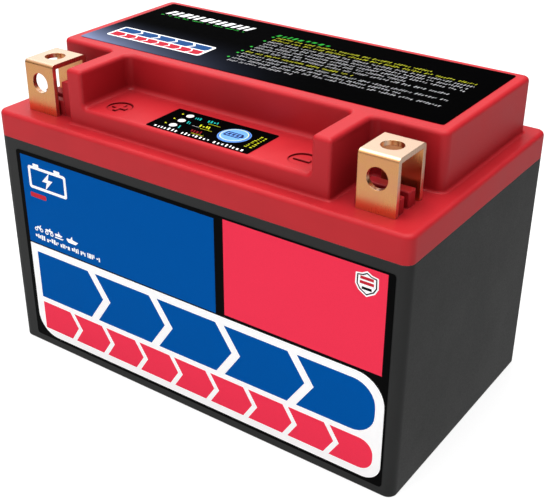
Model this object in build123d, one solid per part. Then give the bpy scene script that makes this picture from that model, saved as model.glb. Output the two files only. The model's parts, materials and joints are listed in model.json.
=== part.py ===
from build123d import *
import os

# Twelve-volt lithium motorcycle battery, all lengths in millimetres.
# X runs along the length, Y from the terminal side (front) to the back, Z up.
# The origin is the centre of the case's underside. The positive terminal is at -X.

os.makedirs("parts", exist_ok=True)

# ---------------------------------------------------------------- driving dimensions
LENGTH = 150.0            # case and lid skirt, X
WIDTH = 87.0              # case and lid skirt, Y
CORNER_R = 3.0            # upright corners of case and skirt
CASE_TOP = 76.8           # joint line between case and lid
DECK_TOP = 85.3           # terminal deck
TOTAL_HEIGHT = 103.0      # raised block
WALL = 2.5                # case wall and floor
LID_WALL = 2.2            # lid skin
INSIDE_X = LENGTH / 2 - WALL
INSIDE_Y = WIDTH / 2 - WALL
DECK_UNDER = DECK_TOP - LID_WALL

BLOCK_X = 69.8            # half length of the raised block
BLOCK_BACK = 38.3
BLOCK_FRONT = -17.0       # wall behind the terminals and behind the recess
ARM_OUT = 47.4            # the two arms that stand forward of the block
ARM_IN = 41.2
ARM_FRONT = -38.4
RECESS_FLOOR = 91.5       # floor between the arms
RECESS_UNDER = RECESS_FLOOR - LID_WALL

TONGUE_T = 1.2            # tongue on the case that enters the lid skirt
TONGUE_H = 3.0
TONGUE_GAP = 0.1
TONGUE_INSET = WALL - TONGUE_T
GROOVE_INSET = TONGUE_INSET - TONGUE_GAP
BEAD_H = 0.8              # adhesive above the tongue
SKIRT_INNER_R = 2.0       # upright inner corners of skirt and bead

TERM_X = 60.55            # terminal centre
TERM_W = 11.9             # strip width
TERM_T = 1.5              # strip thickness
TERM_Y0, TERM_Y1 = -37.0, -22.4
TERM_TOP = 101.9
LEG_YS = (TERM_Y0 + TERM_T / 2, TERM_Y1 - TERM_T / 2)

BOARD_T = 1.6             # both circuit boards
IND_TOP = 85.4            # upper face of the indicator board
IND_UNDER = IND_TOP - BOARD_T
BOSS_XS = (-16.3, 18.0)
BOSS_YS = (-22.4, -33.0)
BOSSES = [(x, y) for x in BOSS_XS for y in BOSS_YS]
BUTTON_X, BUTTON_Y = 9.3, -29.1
LIGHTS = [(-10.45, -24.7), (-10.35, -28.8), (-10.25, -32.9)]
LIGHT_R = 1.25
LIGHT_HOLE_R = LIGHT_R + 0.05

SIDES = (-1, 1)           # left, right
OVER = 1.0                # overlap of joined pieces and overshoot of cuts


# ---------------------------------------------------------------- helpers
def slab(w, d, r, z0, z1, x=0.0, y=0.0):
    """A plate centred on (x, y) with rounded upright corners."""
    return Pos(x, y, z0) * extrude(RectangleRounded(w, d, r), z1 - z0)


def inset_slab(inset, r, z0, z1):
    """The case's plan, drawn in by inset on every side."""
    return slab(LENGTH - 2 * inset, WIDTH - 2 * inset, r, z0, z1)


def block(x0, x1, y0, y1, z0, z1):
    """A box between limits; the limits of X and Y may come in either order."""
    centre = Pos((x0 + x1) / 2, (y0 + y1) / 2, (z0 + z1) / 2)
    return centre * Box(abs(x1 - x0), abs(y1 - y0), z1 - z0)


def bar(x, y, w, d, z0, z1):
    """A box centred on (x, y)."""
    return Pos(x, y, (z0 + z1) / 2) * Box(w, d, z1 - z0)


def rod(x, y, z0, z1, r):
    return Pos(x, y, (z0 + z1) / 2) * Cylinder(r, z1 - z0)


def rod_y(x, z, y0, y1, r):
    return Pos(x, (y0 + y1) / 2, z) * Rot(90, 0, 0) * Cylinder(r, y1 - y0)


def rod_x(y, z, x0, x1, r):
    return Pos((x0 + x1) / 2, y, z) * Rot(0, 90, 0) * Cylinder(r, abs(x1 - x0))


def cable(points, r, bend):
    """A round cable along straight runs with rounded bends."""
    path = FilletPolyline(*points, radius=bend)
    start = Plane(origin=path @ 0, z_dir=path % 0)
    return sweep(start * Circle(r), path=path)


def round_along(solid, axis, r):
    """Rounds every edge parallel to the axis."""
    return fillet(solid.edges().filter_by(axis), r)


def round_rim(solid, r, end=-1, axis=Axis.Z):
    """Rounds the last edge along the axis, or the first with end=0."""
    return fillet(solid.edges().sort_by(axis)[end], r)


def round_face(solid, r, end):
    """Rounds the outline of the top face (end=-1) or the bottom face (end=0)."""
    return fillet(solid.faces().sort_by(Axis.Z)[end].outer_wire().edges(), r)


def cut_cross(solid, x, y, length, width, z0, z1):
    """Cuts a cross-shaped driver slot."""
    for w, d in ((length, width), (width, length)):
        solid -= bar(x, y, w, d, z0, z1)
    return solid


def lies_at(edge, axis, value):
    """True if the whole edge lies at this value of "X", "Y" or "Z"."""
    box = edge.bounding_box()
    return all(abs(getattr(end, axis) - value) < 1e-4 for end in (box.min, box.max))


def save(name, *items):
    solids = [solid for item in items for solid in item.solids()]
    shape = solids[0] if len(solids) == 1 else Compound(solids)
    export_step(shape, f"parts/{name}.step")


# ---------------------------------------------------------------- case
case = inset_slab(0, CORNER_R, 0, CASE_TOP)
case = round_face(case, 0.4, end=0)
case += inset_slab(TONGUE_INSET, CORNER_R - TONGUE_INSET, CASE_TOP - OVER, CASE_TOP + TONGUE_H)
case -= inset_slab(WALL, 1.0, WALL, CASE_TOP + TONGUE_H + OVER)
save("case_tub", case)

# ---------------------------------------------------------------- lid
DECK_EDGE_R = 1.4         # deck's outer edge
BLOCK_EDGE_R = 1.3        # raised block's top edge
BLOCK_ROOT_R = 0.9        # where the block meets the deck
RECESS_ROOT_R = 1.6       # where the recess floor meets its walls
BLOCK_CORNER_R = 2.5      # upright corners
ARM_CORNER_R = 1.0
RIM_X, RIM_Y = 70.9, 39.5  # deck edges that reach beyond these belong to its rim

# raised outline, seen from above, in (x, y)
RIGHT_SIDE = [(-BLOCK_X, BLOCK_BACK), (BLOCK_X, BLOCK_BACK), (BLOCK_X, BLOCK_FRONT),
              (ARM_OUT, BLOCK_FRONT), (ARM_OUT, ARM_FRONT)]
RECESS = [(ARM_IN, ARM_FRONT), (ARM_IN, BLOCK_FRONT), (-ARM_IN, BLOCK_FRONT), (-ARM_IN, ARM_FRONT)]
LEFT_SIDE = [(-ARM_OUT, ARM_FRONT), (-ARM_OUT, BLOCK_FRONT), (-BLOCK_X, BLOCK_FRONT)]

# (radius, corners rounded together)
OUTER_ROUNDS = [(BLOCK_CORNER_R, RIGHT_SIDE[:3] + LEFT_SIDE[2:]),
                (BLOCK_CORNER_R, [RIGHT_SIDE[3], LEFT_SIDE[1]]),
                (ARM_CORNER_R, [RIGHT_SIDE[4], LEFT_SIDE[0]])]
RECESS_ROUNDS = [(BLOCK_CORNER_R, RECESS[1:3])]


def rounded_outline(points, rounds):
    sketch = make_face(Polyline(*points, close=True))
    for radius, corners in rounds:
        picked = [v for x, y in corners for v in sketch.vertices()
                  if abs(v.X - x) < 1e-6 and abs(v.Y - y) < 1e-6]
        sketch = fillet(picked, radius)
    return sketch


def on_rim(edge):
    box = edge.bounding_box()
    return (max(abs(box.min.X), abs(box.max.X)) > RIM_X
            or box.min.Y < -RIM_Y or box.max.Y > RIM_Y)


def in_recess_mouth(edge):
    """True for edges in the arms' front plane that border the recess."""
    box = edge.bounding_box()
    return (lies_at(edge, "Y", ARM_FRONT) and box.min.Z > RECESS_FLOOR - 0.01
            and max(abs(box.min.X), abs(box.max.X)) < ARM_IN + 0.01)


def lid_body():
    """Solid lid with all its outer roundings."""
    low = rounded_outline(RIGHT_SIDE + LEFT_SIDE, OUTER_ROUNDS)
    high = rounded_outline(RIGHT_SIDE + RECESS + LEFT_SIDE, OUTER_ROUNDS + RECESS_ROUNDS)
    lid = inset_slab(0, CORNER_R, CASE_TOP, DECK_TOP)
    for sketch, top in ((low, RECESS_FLOOR), (high, TOTAL_HEIGHT)):
        lid += Pos(0, 0, DECK_TOP - OVER) * extrude(sketch, top - DECK_TOP + OVER)

    lid = fillet([e for e in lid.edges()
                  if lies_at(e, "Z", RECESS_FLOOR) and not lies_at(e, "Y", ARM_FRONT)],
                 RECESS_ROOT_R)
    top_edges = [e for e in lid.edges() if lies_at(e, "Z", TOTAL_HEIGHT)]
    mouth_edges = [e for e in lid.edges() if in_recess_mouth(e)]
    lid = fillet(top_edges + mouth_edges, BLOCK_EDGE_R)
    lid = fillet([e for e in lid.edges() if lies_at(e, "Z", DECK_TOP) and not on_rim(e)],
                 BLOCK_ROOT_R)
    return fillet([e for e in lid.edges() if lies_at(e, "Z", DECK_TOP) and on_rim(e)],
                  DECK_EDGE_R)


def add_nut_guides(lid):
    """Two ribs under each terminal and a taller stop beside the left arm."""
    foot = DECK_TOP - OVER
    stop_top, stop_x = 96.5, -53.4
    rib_top, rib_in, rib_out = 90.0, 53.0, 66.3
    stop = block(-(ARM_OUT - OVER), stop_x, -34.7, -26.5, foot, stop_top)
    lid += fillet([e for e in stop.edges()
                   if lies_at(e, "Z", stop_top) and lies_at(e, "X", stop_x)], 0.4)
    for s in SIDES:
        for y0, y1 in ((-34.8, -32.2), (-29.8, -26.0)):
            rib = block(s * rib_in, s * rib_out, y0, y1, foot, rib_top)
            # top edges and the two upright edges at the outer end
            lid += fillet([e for e in rib.edges() if lies_at(e, "Z", rib_top) or
                           (lies_at(e, "X", s * rib_out) and not lies_at(e, "Z", foot))], 0.35)
    return lid


def hollow(lid):
    """Cuts the underside, then adds the ribs under the raised block."""
    bottom = CASE_TOP - OVER
    lid -= inset_slab(WALL, SKIRT_INNER_R, bottom, DECK_UNDER)
    lid -= inset_slab(GROOVE_INSET, CORNER_R - GROOVE_INSET, bottom, CASE_TOP + TONGUE_H + BEAD_H)
    lid -= slab(2 * (BLOCK_X - LID_WALL), BLOCK_BACK - BLOCK_FRONT - 2 * LID_WALL, 1.5,
                bottom, TOTAL_HEIGHT - LID_WALL, 0, (BLOCK_BACK + BLOCK_FRONT) / 2)
    lid -= block(-(ARM_OUT - LID_WALL), ARM_OUT - LID_WALL,
                 ARM_FRONT + LID_WALL, BLOCK_FRONT + LID_WALL + OVER, bottom, RECESS_UNDER)
    rib_t, rib_h = 1.6, 4.0
    for x in (-34.0, 0.0, 34.0):
        lid += block(x - rib_t / 2, x + rib_t / 2, BLOCK_FRONT + OVER, BLOCK_BACK - OVER,
                     TOTAL_HEIGHT - LID_WALL - rib_h, TOTAL_HEIGHT - OVER)
    return lid


def add_indicator_seats(lid):
    """Bosses for the indicator board, seat and hole for the button, holes for the lights."""
    for x, y in BOSSES:
        lid += rod(x, y, IND_TOP, RECESS_FLOOR - OVER, r=2.2)
        lid -= rod(x, y, IND_TOP - OVER, IND_TOP + 3.1, r=0.9)
    seat_z = 90.8
    lid -= rod(BUTTON_X, BUTTON_Y, seat_z, RECESS_FLOOR + OVER, r=5.5)
    lid -= rod(BUTTON_X, BUTTON_Y, RECESS_UNDER - OVER, seat_z + 0.5, r=2.2)
    for x, y in LIGHTS:
        lid -= rod(x, y, RECESS_UNDER - OVER, RECESS_FLOOR + OVER, LIGHT_HOLE_R)
    return lid


def cut_terminal_slots(lid):
    gap = 0.05                # between terminal leg and slot
    for s in SIDES:
        for y in LEG_YS:
            lid -= bar(s * TERM_X, y, TERM_W + 2 * gap, TERM_T + 2 * gap,
                       DECK_UNDER - OVER, DECK_TOP + 0.5)
    return lid


def add_polarity_signs(lid):
    """Shallow round dishes in the recess floor: a raised plus on the left, a minus on the right."""
    depth, dish_r = 0.4, 4.1
    span, stroke = 5.2, 1.2
    z0, z1 = RECESS_FLOOR - 2, RECESS_FLOOR + 2
    y = -30.8
    for x, plus in ((-33.0, True), (33.8, False)):
        sign = bar(x, y, span, stroke, z0, z1)
        if plus:
            sign += bar(x, y, stroke, span, z0, z1)
        lid -= rod(x, y, RECESS_FLOOR - depth, RECESS_FLOOR + OVER, dish_r) - sign
    return lid


lid = lid_body()
for step in (add_nut_guides, hollow, add_indicator_seats, cut_terminal_slots, add_polarity_signs):
    lid = step(lid)
save("lid", lid)

# adhesive ring above the tongue
bead_z = CASE_TOP + TONGUE_H
bead = inset_slab(GROOVE_INSET, CORNER_R - GROOVE_INSET, bead_z, bead_z + BEAD_H)
bead -= inset_slab(WALL, SKIRT_INNER_R, CASE_TOP, DECK_TOP)
save("lid_seal_bead", bead)

# ---------------------------------------------------------------- labels
LABEL_T = 0.2
OVERLAY_T = 0.25
OVERLAY_TOP = RECESS_FLOOR + OVERLAY_T
BUTTON_R = 4.5
BUTTON_GAP = 0.08

FRONT_LABEL_X, FRONT_LABEL_Z = 1.65, 38.25
front_label = Pos(FRONT_LABEL_X, -WIDTH / 2, FRONT_LABEL_Z) * Rot(90, 0, 0) * extrude(
    RectangleRounded(139.3, 70.5, 1.0), LABEL_T)
save("front_label", front_label)
save("top_label", slab(132.4, 47.6, 0.8, TOTAL_HEIGHT, TOTAL_HEIGHT + LABEL_T, y=11.2))

overlay = slab(36.8, 15.5, 0.3, RECESS_FLOOR, OVERLAY_TOP, 1.3, -29.35)
overlay_holes = [(BUTTON_X, BUTTON_Y, BUTTON_R + BUTTON_GAP)]
overlay_holes += [(x, y, LIGHT_HOLE_R) for x, y in LIGHTS]
for x, y, r in overlay_holes:
    overlay -= rod(x, y, RECESS_FLOOR - OVER, RECESS_FLOOR + OVER, r)
save("indicator_label", overlay)

# ---------------------------------------------------------------- button and the switch under it
BUTTON_Z = 91.1           # underside of cap and flange
SW_W = 6.0                # square switch body
SW_FLOOR = IND_TOP + 0.5
SW_TOP = IND_TOP + 3.4
PLUNGER_Z = 87.5          # underside of the plunger's body and collar


def button_rod(z0, z1, r):
    return rod(BUTTON_X, BUTTON_Y, z0, z1, r)


button = round_rim(button_rod(BUTTON_Z, 91.95, BUTTON_R), 0.25)
button += button_rod(BUTTON_Z, 91.45, r=5.4)     # flange
button += button_rod(90.42, 91.2, r=1.5)         # stem
save("test_button", button)

switch = round_along(bar(BUTTON_X, BUTTON_Y, SW_W, SW_W, IND_TOP, SW_TOP), Axis.Z, 0.4)
switch -= button_rod(SW_FLOOR, SW_TOP - 0.6, r=2.6)
switch -= button_rod(SW_TOP - OVER, SW_TOP + OVER, r=1.8)
save("switch_body", switch)

plunger = round_rim(button_rod(PLUNGER_Z, 90.4, r=1.75), 0.2)
plunger += button_rod(PLUNGER_Z, 88.15, r=2.4)   # collar
plunger += button_rod(86.5, 87.6, r=0.8)         # pin below
save("switch_plunger", plunger)

# snap dome: thin shallow cap with its rim on the switch floor; section as (radius, height)
DOME = [(0, 0.6), (0.9, 0.56), (1.7, 0.38), (2.4, 0.1), (2.4, 0),
        (2.15, 0), (1.6, 0.24), (0.85, 0.41), (0, 0.45)]
dome = revolve(Plane.XZ * make_face(Polyline(*DOME, close=True)), Axis.Z)
save("switch_dome", Pos(BUTTON_X, BUTTON_Y, SW_FLOOR) * dome)

# L-shaped switch legs: a foot on the board and an upright against the body
SW_LEG_Y, SW_LEG_W, SW_LEG_T = 2.25, 0.7, 0.2
SW_FOOT_L, SW_LEG_H = 1.3, 1.0
legs = []
for sx in SIDES:
    for sy in SIDES:
        x = BUTTON_X + sx * SW_W / 2
        y0 = BUTTON_Y + sy * SW_LEG_Y - SW_LEG_W / 2
        y1 = y0 + SW_LEG_W
        legs.append(block(x, x + sx * SW_FOOT_L, y0, y1, IND_TOP, IND_TOP + SW_LEG_T)
                    + block(x, x + sx * SW_LEG_T, y0, y1, IND_TOP, IND_TOP + SW_LEG_H))
save("switch_legs", *legs)

# ---------------------------------------------------------------- lights and indicator board
pipes, leds = [], []
for x, y in LIGHTS:
    pipe = round_rim(rod(x, y, 86.9, OVERLAY_TOP + 0.05, LIGHT_R), 0.15)
    pipes.append(pipe + rod(x, y, 88.5, RECESS_UNDER, r=1.75))
    leds.append(bar(x, y, 3.2, 1.6, IND_TOP, IND_TOP + 0.5)
                + bar(x, y, 2.0, 1.3, IND_TOP + 0.5, IND_TOP + 1.1))
save("light_pipes", *pipes)
save("indicator_leds", *leds)

ind_board = slab(40.4, 15.6, 1.0, IND_UNDER, IND_TOP, sum(BOSS_XS) / 2, sum(BOSS_YS) / 2)
ind_screws = []
for x, y in BOSSES:
    ind_board -= rod(x, y, IND_UNDER - OVER, IND_TOP + OVER, r=1.1)
    screw = round_rim(rod(x, y, IND_UNDER - 1.3, IND_UNDER, r=1.9), 0.5, end=0)
    screw += rod(x, y, IND_UNDER - 0.1, IND_TOP + 2.8, r=0.9)
    screw = cut_cross(screw, x, y, 2.6, 0.44, IND_UNDER - 2, IND_UNDER - 0.8)
    ind_screws.append(screw)
save("indicator_board", ind_board)
save("indicator_screws", *ind_screws)

IND_SOCKET_X, IND_SOCKET_Y, IND_SOCKET_Z = 0.0, -27.5, 78.6
ind_socket = bar(IND_SOCKET_X, IND_SOCKET_Y, 7.4, 4.6, IND_SOCKET_Z, IND_UNDER)
ind_socket = round_along(ind_socket, Axis.Z, 0.3)
ind_socket -= bar(IND_SOCKET_X, IND_SOCKET_Y, 5.8, 3.2, IND_SOCKET_Z - OVER, IND_UNDER - 1.0)
save("indicator_socket", ind_socket)

# ---------------------------------------------------------------- terminals
TERM_HOLE_R = 3.2         # clearance for an M6 bolt
TERM_TOP_HOLE_Y = -29.7
TERM_FRONT_HOLE_Z = 95.1
TERM_LEG_Z = 72.0         # front leg goes down inside the case
TERM_BACK_LEG_Z = 80.5
TERM_BEND_R = 1.2         # outside of the bends
TERM_INNER_BEND_R = 0.3
BACK_LEG_TRIM = 0.5
LUG_HOLE_Z = 77.2
LUG_HOLE_R = 2.15         # clearance for an M4 screw


def terminal(side):
    """A strip bent into an upside-down U, with a short back leg."""
    x = side * TERM_X
    x0, x1 = x - TERM_W / 2, x + TERM_W / 2
    under = TERM_TOP - TERM_T
    low = TERM_LEG_Z - OVER
    strip = block(x0, x1, TERM_Y0, TERM_Y1, TERM_LEG_Z, TERM_TOP)
    strip = fillet(strip.edges().filter_by(Axis.X).group_by(Axis.Z)[-1], TERM_BEND_R)
    inner = block(x0 - OVER, x1 + OVER, TERM_Y0 + TERM_T, TERM_Y1 - TERM_T, low, under)
    inner = fillet(inner.edges().filter_by(Axis.X).group_by(Axis.Z)[-1], TERM_INNER_BEND_R)
    strip -= inner
    strip -= block(x0 - OVER, x1 + OVER, TERM_Y1 - TERM_T - 0.5, TERM_Y1 + OVER,
                   low, TERM_BACK_LEG_Z)
    strip -= rod(x, TERM_TOP_HOLE_Y, under - OVER, TERM_TOP + OVER, TERM_HOLE_R)
    for z, r in ((TERM_FRONT_HOLE_Z, TERM_HOLE_R), (LUG_HOLE_Z, LUG_HOLE_R)):
        strip -= rod_y(x, z, TERM_Y0 - OVER, TERM_Y0 + TERM_T + OVER, r)
    if side < 0:              # left back leg is a little narrower on the outside
        strip -= block(x0 - OVER, x0 + BACK_LEG_TRIM, TERM_Y1 - TERM_T - 0.3, TERM_Y1 + OVER,
                       low, under)
    return strip


save("positive_terminal", terminal(-1))
save("negative_terminal", terminal(1))

# rubber pad round each leg under the deck
SEAL_PAD_H = 1.3
SEAL_MARGIN = 1.5
seals = []
for s in SIDES:
    for y in LEG_YS:
        pad = slab(TERM_W + 2 * SEAL_MARGIN, TERM_T + 2 * SEAL_MARGIN, 1.0,
                   DECK_UNDER - SEAL_PAD_H, DECK_UNDER, s * TERM_X, y)
        pad -= bar(s * TERM_X, y, TERM_W, TERM_T, DECK_UNDER - SEAL_PAD_H - OVER, DECK_TOP)
        seals.append(pad)
save("terminal_seals", *seals)

# ---------------------------------------------------------------- lug fixings on each front leg
LUG_Y = TERM_Y0 + TERM_T      # inner face of the front leg
LUG_T = 1.0
WASHER_Y = LUG_Y + LUG_T
WASHER_T = 1.0
HEAD_Y = WASHER_Y + WASHER_T
HEAD_H = 2.5
BARREL_Y = LUG_Y + 2.8
BARREL_X0, BARREL_X1 = 48.4, 54.3
SHANK_R = 2.0
NUT_H = 3.2


def ring_lug(side):
    x = side * TERM_X
    lug = rod_y(x, LUG_HOLE_Z, LUG_Y, WASHER_Y, r=4.4)
    lug += block(x, side * 53.0, LUG_Y, WASHER_Y, LUG_HOLE_Z - 2.4, LUG_HOLE_Z + 2.4)
    lug += rod_x(BARREL_Y, LUG_HOLE_Z, side * BARREL_X0, side * BARREL_X1, r=2.75)
    lug -= rod_y(x, LUG_HOLE_Z, LUG_Y - OVER, WASHER_Y + OVER, LUG_HOLE_R)
    lug -= rod_x(BARREL_Y, LUG_HOLE_Z, side * (BARREL_X0 - 0.4), side * (BARREL_X1 + 0.7), r=2.0)
    return lug


def spring_washer(x):
    washer = rod_y(x, LUG_HOLE_Z, WASHER_Y, HEAD_Y, r=3.5)
    washer -= rod_y(x, LUG_HOLE_Z, WASHER_Y - OVER, HEAD_Y + OVER, r=2.1)
    middle = Pos(x, WASHER_Y + WASHER_T / 2, LUG_HOLE_Z)
    return washer - middle * Rot(0, 0, 25) * Pos(0, 0, 2.8) * Box(0.4, 3.0, 3.0)


def lug_screw(x):
    screw = rod_y(x, LUG_HOLE_Z, HEAD_Y, HEAD_Y + HEAD_H, r=3.9)
    screw = round_rim(screw, 1.0, axis=Axis.Y)
    screw += rod_y(x, LUG_HOLE_Z, TERM_Y0 - 3.8, HEAD_Y + 0.1, SHANK_R)
    for w, h in ((4.2, 0.9), (0.9, 4.2)):
        screw -= Pos(x, HEAD_Y + HEAD_H - 0.1, LUG_HOLE_Z) * Box(w, 2.0, h)
    return screw


def lug_nut(x):
    hexagon = RegularPolygon(3.5, 6, major_radius=False)
    nut = Pos(x, TERM_Y0 - NUT_H, LUG_HOLE_Z) * Rot(-90, 0, 0) * extrude(hexagon, NUT_H)
    return nut - rod_y(x, LUG_HOLE_Z, TERM_Y0 - NUT_H - OVER, TERM_Y0 + OVER, SHANK_R)


save("positive_lug", ring_lug(-1))
save("negative_lug", ring_lug(1))
save("lug_spring_washers", *[spring_washer(s * TERM_X) for s in SIDES])
save("lug_screws", *[lug_screw(s * TERM_X) for s in SIDES])
save("lug_nuts", *[lug_nut(s * TERM_X) for s in SIDES])

# ---------------------------------------------------------------- cells and packing
CELL_W, CELL_T, CELL_H = 112.0, 10.0, 52.0
CELL_GAP = 2.0
CELL_BOTTOM = 5.5
CELL_TOP = CELL_BOTTOM + CELL_H
SEAL_H = 4.0              # flat welded seam above each pouch
SEAL_TOP = CELL_TOP + SEAL_H
CELL_YS = [(i - 1.5) * (CELL_T + CELL_GAP) for i in range(4)]
PACK_Y = CELL_YS[-1] + CELL_T / 2     # half depth of the four cells
PLATE_Z, PLATE_T = 62.5, 1.6

for i, y in enumerate(CELL_YS):
    pouch = bar(0, y, CELL_W, CELL_T, CELL_BOTTOM, CELL_TOP)
    pouch = round_along(pouch, Axis.Z, 2.5)
    pouch = round_face(pouch, 1.6, end=-1)
    pouch = round_face(pouch, 1.6, end=0)
    pouch += bar(0, y, CELL_W - 6, 1.2, CELL_TOP - OVER, SEAL_TOP)
    save(f"cell_{i + 1}", pouch)

save("cell_spacer_pads", *[slab(106, CELL_GAP, 0.5, CELL_BOTTOM + 2, CELL_TOP - 2, y=(y0 + y1) / 2)
                           for y0, y1 in zip(CELL_YS, CELL_YS[1:])])
save("bottom_pad", slab(110, 45, 2.0, WALL, CELL_BOTTOM - 0.5))
for name, s in (("front", -1), ("rear", 1)):
    foam = block(-CELL_W / 2, CELL_W / 2, s * (PACK_Y + 0.5), s * INSIDE_Y, WALL, PLATE_Z)
    save(f"{name}_foam_block", round_along(foam, Axis.X, 1.2))
end_pads = []
for s in SIDES:
    pad = block(s * (CELL_W / 2 + 0.3), s * INSIDE_X, -INSIDE_Y, INSIDE_Y, WALL, PLATE_Z)
    end_pads.append(round_along(pad, Axis.Z, 2.6))
save("end_foam_pads", *end_pads)

STRAP_W, STRAP_T = 12.0, 0.35
straps = []
for x in (-12.0, 12.0):
    outer = bar(x, 0, STRAP_W, 2 * (PACK_Y + STRAP_T), CELL_BOTTOM - STRAP_T, SEAL_TOP + STRAP_T)
    outer = round_along(outer, Axis.X, 0.8)
    inner = bar(x, 0, STRAP_W + 2 * OVER, 2 * PACK_Y, CELL_BOTTOM, SEAL_TOP)
    straps.append(outer - round_along(inner, Axis.X, 0.45))
save("pack_strap", *straps)

# ---------------------------------------------------------------- cell tabs, links and plate
TAB_X, TAB_W, TAB_T = 34.0, 18.0, 0.3
TAB_FOLD = 4.4            # reach of the folded end
LINK_Z0 = PLATE_Z + PLATE_T
LINK_T = 0.8
LINK_Z1 = LINK_Z0 + LINK_T
LINK_EDGE = TAB_T / 2 + 0.1       # from a tab's middle to the link's edge
LINK_CORNER_R = 1.0
COLLECTOR_X = 56.0        # outer end of each collector
COLLECTOR_Y = 26.0
POSITIVE_SIDES = (-1, 1, -1, 1)   # side of the positive tab, per cell


def tab(x, y, fold):
    """Upright tab folded flat over the link, forward (-1) or backward (1)."""
    flat = block(x - TAB_W / 2, x + TAB_W / 2, y, y + fold * TAB_FOLD, LINK_Z1, LINK_Z1 + TAB_T)
    return bar(x, y, TAB_W, TAB_T, SEAL_TOP, LINK_Z1 + TAB_T) + flat


def strip_link(x0, x1, y0, y1):
    return round_along(block(x0, x1, y0, y1, LINK_Z0, LINK_Z1), Axis.Z, LINK_CORNER_R)


cell_sides = list(zip(CELL_YS, POSITIVE_SIDES))
save("positive_tabs", *[tab(s * TAB_X, y, -1) for y, s in cell_sides])
save("negative_tabs", *[tab(-s * TAB_X, y, 1) for y, s in cell_sides])

plate = slab(116, 54, 2.0, PLATE_Z, LINK_Z0)
for y in CELL_YS:
    for s in SIDES:
        plate -= bar(s * TAB_X, y, TAB_W + 1.0, 0.8, PLATE_Z - OVER, LINK_Z0 + OVER)
save("tab_plate", plate)

# each link joins a cell's negative tab to the positive tab of the cell behind it
save("series_links", *[strip_link(-s * TAB_X - TAB_W / 2, -s * TAB_X + TAB_W / 2,
                                  y0 + LINK_EDGE, y1 - LINK_EDGE)
                       for y0, y1, s in zip(CELL_YS, CELL_YS[1:], POSITIVE_SIDES)])
save("positive_collector", strip_link(-COLLECTOR_X, -TAB_X + TAB_W / 2,
                                      -COLLECTOR_Y, CELL_YS[0] - LINK_EDGE))
save("negative_collector", strip_link(-TAB_X - TAB_W / 2, COLLECTOR_X,
                                      CELL_YS[3] + LINK_EDGE + 0.3, COLLECTOR_Y))

# ---------------------------------------------------------------- main leads
LEAD_X = 50.0             # both ends of each lead
# name, side, X of the run towards the back, Y and Z where it turns to the collector
for name, s, run_x, y, z in (("positive", -1, 43.2, -22.0, 71.5), ("negative", 1, 42.8, 22.0, 79.5)):
    points = [(s * LEAD_X, BARREL_Y, LUG_HOLE_Z), (s * run_x, BARREL_Y, LUG_HOLE_Z),
              (s * run_x, y, z), (s * LEAD_X, y, z), (s * LEAD_X, y, LINK_Z1)]
    save(f"{name}_lead", cable(points, r=1.9, bend=3.2))

# ---------------------------------------------------------------- balance board
BOARD_Z = 70.4
BOARD_TOP = BOARD_Z + BOARD_T
SHEET_Z = BOARD_Z - 0.4   # underside of the insulation sheet
POST_X = 16.5
POST_YS = (-21.0, 11.5)
BOARD_Y = sum(POST_YS) / 2
BOARD_SCREW_R = 1.25

sheet = slab(42, 42, 1.0, SHEET_Z, BOARD_Z, y=BOARD_Y)
board = slab(40, 40, 1.0, BOARD_Z, BOARD_TOP, y=BOARD_Y)
posts, board_screws = [], []
for y in POST_YS:
    for x in (-POST_X, POST_X):
        hole = rod(x, y, SHEET_Z - OVER, BOARD_TOP + OVER, r=1.35)
        sheet -= hole
        board -= hole
        hexagon = RegularPolygon(2.5, 6, major_radius=False)
        post = Pos(x, y, LINK_Z0) * extrude(hexagon, SHEET_Z - LINK_Z0)
        post -= rod(x, y, BOARD_Z - 4.6, BOARD_Z + OVER, BOARD_SCREW_R)
        posts.append(post)
        screw = round_rim(rod(x, y, BOARD_TOP, BOARD_TOP + 1.6, r=2.2), 0.7)
        screw += rod(x, y, BOARD_Z - 4.0, BOARD_TOP + 0.1, BOARD_SCREW_R)
        screw = cut_cross(screw, x, y, 3.0, 0.5, BOARD_TOP + 0.9, BOARD_TOP + 3)
        board_screws.append(screw)
save("insulation_sheet", sheet)
save("balance_board", board)
save("board_standoffs", *posts)
save("board_screws", *board_screws)

resistors = []
for x in (-9.6, -3.2, 3.2, 9.6):
    for y in (-20.5, -15.5):
        resistor = bar(x, y, 3.2, 4.0, BOARD_TOP, BOARD_TOP + 0.65)
        resistors.append(chamfer(resistor.edges().group_by(Axis.Z)[-1], 0.12))
save("bleed_resistors", *resistors)

CHIP_Y = -6.75
PIN_PITCH, PIN_W = 1.27, 0.4
PIN_X = 1.8               # inner end of the pins, from the chip's middle
chips = []
for x in (-12.0, -4.0, 4.0, 12.0):
    chip = bar(x, CHIP_Y, 3.9, 4.9, BOARD_TOP + 0.15, BOARD_TOP + 1.65)
    chip = chamfer(chip.edges().group_by(Axis.Z)[-1], 0.25)
    for k in range(4):
        y0 = CHIP_Y + (k - 1.5) * PIN_PITCH - PIN_W / 2
        for s in SIDES:
            for reach, height in ((3.0, 0.2), (2.2, 0.9)):    # foot, upright
                chip += block(x + s * PIN_X, x + s * reach, y0, y0 + PIN_W,
                              BOARD_TOP, BOARD_TOP + height)
    chips.append(chip)
save("balance_chips", *chips)

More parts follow.
